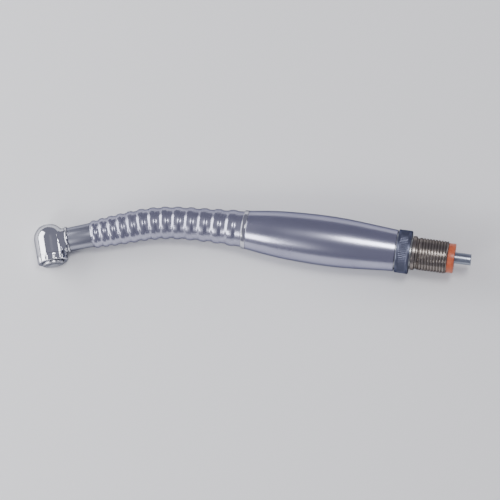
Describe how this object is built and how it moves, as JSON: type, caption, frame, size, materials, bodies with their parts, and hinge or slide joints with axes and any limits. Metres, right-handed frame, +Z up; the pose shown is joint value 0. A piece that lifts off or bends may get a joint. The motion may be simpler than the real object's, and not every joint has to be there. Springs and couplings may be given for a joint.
{
  "type": "high speed dental handpiece",
  "caption": "Contra-angle air-turbine dental handpiece with push-button chuck head, ring-ribbed grip, smooth barrel, release collar and swivelling threaded hose connector.",
  "frame": {"origin": "middle of the footprint on the bench that the handpiece lies on, on its side", "axes": "+X from the head to the hose end, +Z up from the bench, the push button faces -Y and the bur +Y"},
  "size_m": [0.136, 0.0284, 0.0157],
  "materials": {
    "polished_head": "polished",
    "button_metal": "satin",
    "neck_satin": "satin",
    "grip_satin": "satin",
    "polished_ring": "polished",
    "barrel_satin": "satin",
    "dark_collar": "satin",
    "connector_bronze": "satin",
    "orange_seal": "satin",
    "inlet_steel": "satin",
    "inner_tube": "satin",
    "alloy_block": "satin",
    "spring_steel": "satin",
    "bearing_steel": "polished",
    "rotor_alloy": "satin",
    "ceramic_balls": "gloss",
    "cage_resin": "matte",
    "black_seal": "satin",
    "clear_seal": "satin"
  },
  "bodies": {
    "handpiece": {"head_shell": "polished_head", "nose_ring": "polished_head", "back_cap": "polished_head", "button_spring": "spring_steel", "wave_washer": "spring_steel", "front_o_ring": "black_seal", "rear_o_ring": "black_seal", "front_bearing_outer_race": "bearing_steel", "rear_bearing_outer_race": "bearing_steel", "neck_bead": "polished_head", "neck_sleeve": "neck_satin", "core_tube": "inner_tube", "drive_air_tube": "inner_tube", "water_tube": "inner_tube", "chip_air_tube": "inner_tube", "ribbed_grip": "grip_satin", "joint_ring": "polished_ring", "barrel_shell": "barrel_satin", "core_bush": "alloy_block", "manifold": "alloy_block", "anti_retraction_valve": "clear_seal", "coupling_sleeve": "inner_tube", "lock_balls": "bearing_steel", "collar_spring": "spring_steel", "snap_ring": "spring_steel"},
    "turbine_shaft": {"spindle": "bearing_steel", "turbine_rotor": "rotor_alloy", "chuck_collet": "bearing_steel", "front_bearing_inner_race": "bearing_steel", "rear_bearing_inner_race": "bearing_steel", "chuck_spring": "spring_steel"},
    "chuck_release": {"chuck_plunger": "bearing_steel"},
    "front_ball_set": {"front_bearing_balls": "ceramic_balls", "front_bearing_cage": "cage_resin"},
    "rear_ball_set": {"rear_bearing_balls": "ceramic_balls", "rear_bearing_cage": "cage_resin"},
    "button": {"push_button": "button_metal"},
    "collar": {"release_collar": "dark_collar"},
    "swivel": {"swivel_spigot": "alloy_block", "swivel_o_rings": "black_seal", "threaded_connector": "connector_bronze", "connector_gasket": "orange_seal", "drive_air_inlet": "inlet_steel", "water_inlet": "inlet_steel"}
  },
  "joints": [
    {"name": "turbine_spin", "type": "hinge", "parent": "handpiece", "child": "turbine_shaft", "pos_m": [-0.06272, -0.00652, 0.0048], "axis": [-0.3336, 0.9427, 0], "continuous": true},
    {"name": "front_balls_orbit", "type": "hinge", "parent": "handpiece", "child": "front_ball_set", "pos_m": [-0.06272, -0.00652, 0.0048], "axis": [-0.3336, 0.9427, 0], "continuous": true},
    {"name": "rear_balls_orbit", "type": "hinge", "parent": "handpiece", "child": "rear_ball_set", "pos_m": [-0.06272, -0.00652, 0.0048], "axis": [-0.3336, 0.9427, 0], "continuous": true},
    {"name": "button_press", "type": "slide", "parent": "handpiece", "child": "button", "axis": [-0.3336, 0.9427, 0], "range_m": [0, 0.0006], "stiffness_N_per_m": 4000, "springref_m": -0.001, "deforming": ["button_spring"]},
    {"name": "chuck_press", "type": "slide", "parent": "turbine_shaft", "child": "chuck_release", "axis": [-0.3336, 0.9427, 0], "range_m": [0, 0.00035], "deforming": ["chuck_spring"]},
    {"name": "collar_pull", "type": "slide", "parent": "handpiece", "child": "collar", "axis": [0.9994, -0.0004, 0.0344], "range_m": [0, 0.0008], "stiffness_N_per_m": 3000, "springref_m": -0.001, "deforming": ["collar_spring"]},
    {"name": "hose_swivel", "type": "hinge", "parent": "handpiece", "child": "swivel", "pos_m": [0.03817, 0.00638, 0.00843], "axis": [0.9994, -0.0004, 0.0344], "continuous": true}
  ],
  "couplings": [
    {"joint": "front_balls_orbit", "follows": "turbine_spin", "ratio": 0.39496},
    {"joint": "rear_balls_orbit", "follows": "turbine_spin", "ratio": 0.39496},
    {"joint": "chuck_press", "follows": "button_press", "ratio": 0.58333}
  ]
}
